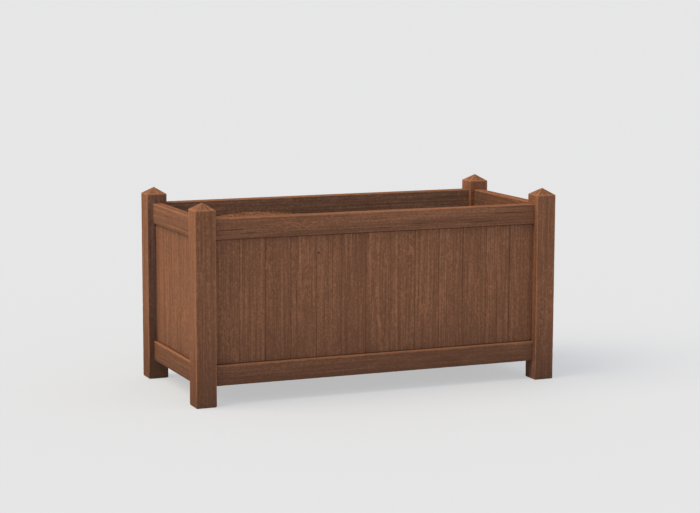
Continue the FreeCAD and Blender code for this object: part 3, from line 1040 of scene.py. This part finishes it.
def screw_tree():
    inputs = {"Count": "Int", "Spacing": "Float", "Head Radius": "Float", "Crossed": "Bool",
              "Recess": "Vector", "First": "Vector", "Finish": "Material"}
    tree, put = new_tree("cleat screws", inputs)
    values = {"Resolution": screw_facets, "Radius": put["Head Radius"]}
    ring = result(tree, "GeometryNodeCurvePrimitiveCircle", values)
    plug = swept(tree, curve_of(tree, put["Geometry"]), ring)
    screw = plug
    for quarter in (0, 1):
        bar = result(tree, "GeometryNodeMeshCube", {"Size": put["Recess"]})
        bar = moved(tree, bar, Rotation=turn_of(tree, (0, 0, quarter * math.pi / 2)))
        screw = cut_away(tree, screw, bar)
    values = {"Switch": put["Crossed"], "False": plug, "True": screw}
    screw = result(tree, "GeometryNodeSwitch", values, input_type="GEOMETRY")
    step = vector_of(tree, put["Spacing"])
    values = {"Count": put["Count"], "Start Location": put["First"], "Offset": step}
    row = result(tree, "GeometryNodeMeshLine", values)
    values = {"Points": row, "Instance": screw, "Rotation": turn_of(tree, (math.radians(-90), 0, 0))}
    front = result(tree, "GeometryNodeInstanceOnPoints", values)
    front = result(tree, "GeometryNodeRealizeInstances", {"Geometry": front})
    back = moved(tree, front, Rotation=turn_of(tree, (0, 0, math.pi)))
    rows = smooth_with_sharp_edges(tree, joined(tree, back, front), screw_crease)
    close_tree(tree, rows, put["Finish"])
    return tree


first_screw = Vector((screw_low.x + screw_head_radius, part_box("floor_cleat_front")[1].y,
                      (screw_low.z + screw_high.z) / 2))
screw_length = first_screw.y - screw_low.y
screw_run = [(-screw_length, screw_tip_swell), (screw_tip_length - screw_length, screw_shank_swell),
             (-screw_head_height, screw_shank_swell), (0, 1.0)]
zinc = zinc_plate("zinc plate")
row_maker = screw_tree()


def screw_rows(name, run, head_radius, crossed):
    inputs = {"Count": screws_per_cleat, "Spacing": -2 * first_screw.x / (screws_per_cleat - 1),
              "Head Radius": head_radius, "Crossed": crossed, "Recess": recess_size, "First": first_screw,
              "Finish": zinc}
    return run_tree(upright_run("screw run", run), row_maker, name, inputs)


screws = screw_rows("cleat_screws_cut", screw_run, screw_head_radius, True)
seat(screws, "screw_steel", "cleat_screws")
plugs = screw_rows("plugs", screw_run + [(plug_overshoot, 1.0)], screw_head_radius + screw_clearance, False)
print("screws:", 2 * screws_per_cleat, "with", len(screws.data.polygons), "faces")

# %% [markdown]
# ## Floor
# Two square cleats are screwed along the long bottom rails, and slats lie across them with gaps for the water
# to run out. They come from the same tree, with a plainer section and the same timber. A second tree bores
# the cleats with the plugs. A cut makes new points, so it first moves what the finish reads to the corners of
# the faces, where the cut carries it over.

# %% Cleats and slats
floor_arris = 0.0015
finish_marks = {"grain": "FLOAT_VECTOR", "tone": "FLOAT", "swell": "FLOAT", "drip": "FLOAT", "arris": "FLOAT",
                "seam": "FLOAT", "shoulder": "FLOAT"}


def bored_tree():
    tree, put = new_tree("bored timber", {"Plugs": "Object", "Finish": "Material"})
    bored = put["Geometry"]
    for name, kind in finish_marks.items():
        bored = store(tree, bored, name, named(tree, name, kind), kind, "CORNER")
    cutter = add_node(tree, "GeometryNodeObjectInfo", {"Object": put["Plugs"]}).outputs["Geometry"]
    bored = smooth_with_sharp_edges(tree, cut_away(tree, bored, cutter), timber_crease)
    close_tree(tree, bored, put["Finish"])
    return tree


def straight_timber(name, along, bore=None):
    """A plain timber that fills its node's box, with its run along x or y."""
    low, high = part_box(name)
    size = high - low
    if along == "x":
        width, depth, half, turn = size.z, size.y, size.x / 2, (0, math.radians(90), 0)
    else:
        width, depth, half, turn = size.x, size.z, size.y / 2, (math.radians(-90), 0, 0)
    section = outline(name + " outline", rectangle(width, depth, floor_arris))
    timber(name, "floor_wood", section, (width, depth), even_run(half), turn, (low + high) / 2, (-half, half),
           bore=bore)
    discard(section)


cleats = [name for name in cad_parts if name.startswith("floor_cleat")]
slats = [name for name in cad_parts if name.startswith("floor_slat")]
bored_timber = bored_tree()
for name in cleats:
    straight_timber(name, "x", bored_timber)
for name in slats:
    straight_timber(name, "y")
for helper in [plugs, post_outline, *rail_outlines.values(), *board_outlines.values()]:
    discard(helper)
print("floor:", len(cleats), "cleats and", len(slats), "slats;", timbers_made, "timbers in all")

# %% [markdown]
# ## Liner
# The liner is a thin black plastic tub. Its modelled shape is right, so the node stays and only gets a better
# finish: near-black, slightly uneven moulded plastic, with a film of dry soil dust in soft patches.

# %% Liner finish
plastic_colour = (0.012, 0.012, 0.013, 1)
dust_colour = (0.060, 0.042, 0.032, 1)
pebble_relief = 0.0002


def moulded_plastic(name):
    material, tree, shader = new_material(name)
    place = object_place(tree)
    dust = ease(tree, noise(tree, place, 14, detail=4.0), 0.45, 0.75, 0.0, 0.5)
    pebbled = relief(tree, noise(tree, place, 1400, detail=1.0), 0.3, pebble_relief)
    fill_inputs(tree, shader, {"Base Color": blend_colours(tree, dust, plastic_colour, dust_colour),
                               "Roughness": calc(tree, "MULTIPLY_ADD", dust, 0.6, 0.42), "Normal": pebbled})
    return material


liner_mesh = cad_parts["liner"].data
liner_mesh.materials.clear()
liner_mesh.materials.append(moulded_plastic("black moulded plastic"))
print("liner: finish", liner_mesh.materials[0].name)

# %% [markdown]
# ## Body of the soil
# The soil is loose potting compost that fills the liner and laps over its rim up to the rails, with a low
# crown along the middle and a mound towards one end. It could be sculpted, but a formula on a grid can be
# read and changed. The grid leaves a notch free at each post.

# %% Soil surface
soil_below_rail = 0.050
soil_crown = 0.008
soil_mound = 0.014
soil_mound_place = -0.206
soil_mound_radius = 0.117
soil_step = 0.004
soil_clearance = 0.0004
soil_over_rim = 0.001
liner_wall = 0.002

liner_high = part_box("liner")[1]
soil_edge = rail_high.z - soil_below_rail
soil_half = Vector((-rail_inner.x - soil_clearance, -rail_inner.y - soil_clearance))
soil_notch = Vector((-post_inner.x - soil_clearance, -post_inner.y - soil_clearance))
soil_inset = soil_half.x - (liner_high.x - liner_wall - soil_clearance)


def soil_height(x, y):
    crown = soil_crown * math.cos(math.pi * y / (2 * cad_box[1].y)) ** 2
    return soil_edge + crown + soil_mound * math.exp(-((x - soil_mound_place) / soil_mound_radius) ** 2)


def grid_lines(half, notch):
    """Even lines from end to end, with one exactly on each side of the notch at a post."""
    count = math.ceil(2 * notch / soil_step)
    inner = [-notch + 2 * notch * i / count for i in range(count + 1)]
    rim = math.ceil((half - notch) / soil_step)
    outer = [notch + (half - notch) * i / rim for i in range(1, rim + 1)]
    return [-place for place in reversed(outer)] + inner + outer


def soil_top():
    """Points and faces of the grid, without the notches."""
    columns, rows = grid_lines(soil_half.x, soil_notch.x), grid_lines(soil_half.y, soil_notch.y)
    points, index, faces = [], {}, []

    def corner(i, j):
        if (i, j) not in index:
            index[i, j] = len(points)
            points.append((columns[i], rows[j], soil_height(columns[i], rows[j])))
        return index[i, j]

    for i in range(len(columns) - 1):
        for j in range(len(rows) - 1):
            middle_x = abs(columns[i] + columns[i + 1]) / 2
            middle_y = abs(rows[j] + rows[j + 1]) / 2
            if middle_x < soil_notch.x or middle_y < soil_notch.y:
                faces.append((corner(i, j), corner(i + 1, j), corner(i + 1, j + 1), corner(i, j + 1)))
    return points, faces


soil_points, soil_faces = soil_top()
print("soil surface:", len(soil_faces), "faces, from", round(soil_edge, 4), "m up")

# %% [markdown]
# ## Sides of the soil
# From the rim of the grid, loops of points go down to the liner's rim, in over it and down its inside, and a
# bottom closes the block. Solidify would give the grid a thickness too, but not a side with a step in it. The
# points that are loose on top are marked, because only these are to be lumpy.

# %% Soil block
same_line = 1e-6


def rim_of(faces):
    """The points round the outside, in order: the edges that only one face has."""
    once = {}
    for face in faces:
        for a, b in zip(face, face[1:] + face[:1]):
            if once.pop((b, a), None) is None:
                once[a, b] = True
    follow = {a: b for a, b in once}
    rim = [next(iter(follow))]
    while follow[rim[-1]] != rim[0]:
        rim.append(follow[rim[-1]])
    return rim


def pulled_in(value, half, notch):
    """A coordinate on the outside moved in to the liner's inner face; any other as it is."""
    size = abs(value)
    near = half if size > (half + notch) / 2 else notch
    return math.copysign(size - soil_inset, value) if abs(size - near) < same_line else value


def soil_block(points, faces):
    """The closed block, as a host for a tree."""
    top_count = len(points)
    rim = rim_of(faces)
    loops = [rim]
    shelf = liner_high.z + soil_over_rim
    for height, inset in ((shelf, False), (shelf, True), (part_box("soil")[0].z, True)):
        loop = []
        for vertex in rim:
            x, y, z = points[vertex]
            if inset:
                x, y = pulled_in(x, soil_half.x, soil_notch.x), pulled_in(y, soil_half.y, soil_notch.y)
            loop.append(len(points))
            points.append((x, y, height))
        loops.append(loop)
    for upper, lower in zip(loops, loops[1:]):
        for k in range(len(rim)):
            after = (k + 1) % len(rim)
            faces.append((upper[k], lower[k], lower[after], upper[after]))
    faces.append(tuple(reversed(loops[-1])))
    host = mesh_object("soil block", points, [], faces)
    at_rim = set(rim)
    mark_points(host, "loose", [float(i < top_count and i not in at_rim) for i in range(len(points))])
    return host


soil_host = soil_block(soil_points, soil_faces)
print("soil block:", len(soil_host.data.polygons), "faces")

# %% [markdown]
# ## Crumbs
# Real compost has crumbs of every size. Thousands of small lumps follow one rule, so Geometry Nodes scatter
# them: they lie on the surface, turned and sized at random from a fixed seed. Small crumbs have twenty faces
# each, so that the heap stays light. Two noises make the surface between them lumpy.

# %% Crumb tree
# Each kind has its range of sizes, the divisions of its ball, and a seed of its own
crumb_kinds = {"Clods": ((0.004, 0.008), 2, 7), "Crumbs": ((0.0016, 0.0040), 1, 3)}
crumb_flatness = 0.7
crumb_turn = 6.28


def crumbs(tree, surface, put, kind):
    """Lumps of one kind scattered on the surface."""
    (small, large), divisions, seed = crumb_kinds[kind]
    fixed = result(tree, "FunctionNodeInputInt", integer=seed)
    sown = calc(tree, "ADD", put["Seed"], fixed)
    clear_of_rim = calc(tree, "GREATER_THAN", named(tree, "loose"), 0.7)
    values = {"Mesh": surface, "Selection": clear_of_rim, "Density": put[kind], "Seed": sown}
    points = result(tree, "GeometryNodeDistributePointsOnFaces", values)
    lump = result(tree, "GeometryNodeMeshIcoSphere", {"Radius": 0.5, "Subdivisions": divisions})
    position = own_position(tree)
    shrink = calc(tree, "MULTIPLY_ADD", noise(tree, position, 2.6, detail=1.0), 1.1, 0.35)
    values = {"Geometry": lump, "Position": scaled(tree, position, shrink)}
    lump = result(tree, "GeometryNodeSetPosition", values)
    spin = random_vector(tree, (0, 0, 0), (crumb_turn, crumb_turn, crumb_turn), Seed=sown)
    least = (small, small, small * crumb_flatness)
    most = (large, large, large * crumb_flatness)
    size = random_vector(tree, least, most, Seed=sown)
    values = {"Points": points, "Instance": lump, "Rotation": turn_of(tree, spin), "Scale": size}
    scattered = result(tree, "GeometryNodeInstanceOnPoints", values)
    return store(tree, scattered, "tone", random_tone(tree, Seed=sown), domain="INSTANCE")


def soil_tree():
    inputs = {"Lumpiness": "Float", "Crumbs": "Float", "Clods": "Float", "Seed": "Int", "Finish": "Material"}
    tree, put = new_tree("potting soil", inputs)
    position = own_position(tree)
    swell = calc(tree, "SUBTRACT", noise(tree, position, 55, detail=3.0), 0.5)
    grit = calc(tree, "SUBTRACT", noise(tree, position, 260, detail=1.0), 0.5)
    lift = calc(tree, "MULTIPLY", calc(tree, "MULTIPLY_ADD", grit, 0.6, swell), put["Lumpiness"])
    lift = calc(tree, "MULTIPLY", lift, named(tree, "loose"))
    values = {"Geometry": put["Geometry"], "Offset": vector_of(tree, z=lift)}
    surface = result(tree, "GeometryNodeSetPosition", values)
    surface = store(tree, surface, "tone", noise(tree, position, 180))
    surface = result(tree, "GeometryNodeSetShadeSmooth", {"Geometry": surface})
    lumps = [crumbs(tree, surface, put, kind) for kind in crumb_kinds]
    close_tree(tree, joined(tree, *lumps, surface), put["Finish"])
    return tree


potting_soil = soil_tree()
print("tree:", potting_soil.name, "with", len(potting_soil.nodes), "nodes")

# %% [markdown]
# ## Compost
# Compost is matt and reddish brown. One flat colour would look like clay, so the finish sums fine specks,
# broad patches and the tone that every lump has of its own, and a ramp colours the sum from wet to dry.

# %% Soil
wet_soil_colour = (0.050, 0.022, 0.013, 1)
soil_colour = (0.185, 0.080, 0.043, 1)
dry_soil_colour = (0.330, 0.150, 0.085, 1)
soil_relief = 0.0006


def compost(name):
    material, tree, shader = new_material(name)
    place = object_place(tree)
    parts = [(attribute(tree, "tone"), 0.7), (noise(tree, place, 300), 1.5), (noise(tree, place, 30), 0.6)]
    tone = tone_sum(tree, parts)
    colour = colour_ramp(tree, tone, (0.2, wet_soil_colour), (0.5, soil_colour), (0.85, dry_soil_colour))
    grit = relief(tree, noise(tree, place, 1500), 0.6, soil_relief)
    fill_inputs(tree, shader, {"Base Color": colour, "Roughness": 0.95, "Specular IOR Level": 0.05,
                               "Normal": grit})
    return material


inputs = {"Lumpiness": 0.004, "Crumbs": 16000.0, "Clods": 500.0, "Seed": 11,
          "Finish": compost("potting compost")}
soil = seat(run_tree(soil_host, potting_soil, "soil_heap", inputs), "soil", "soil")
print("soil:", len(soil.data.polygons), "faces")
